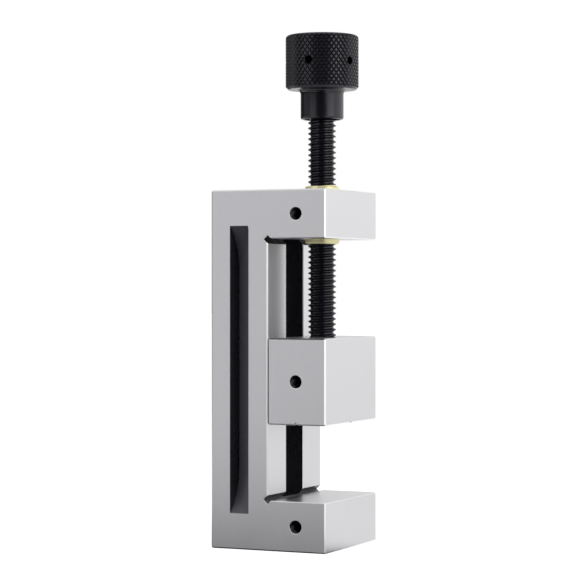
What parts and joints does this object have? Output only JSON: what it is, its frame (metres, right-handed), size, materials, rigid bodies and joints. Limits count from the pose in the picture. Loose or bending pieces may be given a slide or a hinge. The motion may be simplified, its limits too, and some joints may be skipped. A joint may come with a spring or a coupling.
{
  "type": "precision tool vise",
  "caption": "Ground steel toolmaker's vise standing on its end, with a sliding jaw moved by a black screw in a brass nut with a knurled knob.",
  "frame": {"origin": "centre of the fixed jaw's end face, on which the vise stands", "axes": "+Z along the screw towards the knob, +X from the base to the jaw tops, +Y across the jaws"},
  "size_m": [0.0508, 0.05, 0.2014],
  "materials": {
    "ground_steel": "surface ground, with black oxide left in the slot, the grooves, the reliefs and the holes",
    "black_steel": "turned or rolled and black oxidised, slightly oily",
    "hard_steel": "hardened and plain",
    "brass": "turned, clean"
  },
  "bodies": {
    "root": {"base": "ground_steel", "fixed_jaw": "ground_steel", "nut_block": "ground_steel", "lead_nut": "brass", "nut_lock_near": "black_steel", "nut_lock_far": "black_steel"},
    "jaw": {"movable_jaw": "ground_steel", "keeper_plate": "black_steel", "keeper_screw_low": "black_steel", "keeper_screw_high": "black_steel", "keeper_washer_low": "hard_steel", "keeper_washer_high": "hard_steel", "thrust_button": "hard_steel", "retainer_near": "black_steel", "retainer_far": "black_steel"},
    "screw": {"lead_screw": "black_steel", "knob": "black_steel", "knob_pin": "hard_steel"}
  },
  "joints": [
    {"name": "jaw_slide", "type": "slide", "parent": "root", "child": "jaw", "axis": [0, 0, 1], "range_m": [-0.0293, 0.0356]},
    {"name": "screw_spin", "type": "hinge", "parent": "jaw", "child": "screw", "pos_m": [0.0119, 0, 0.1], "axis": [0, 0, 1], "range_deg": [-4983, 6054]}
  ],
  "couplings": [
    {"joint": "screw_spin", "follows": "jaw_slide", "rad_per_m": 2968}
  ]
}
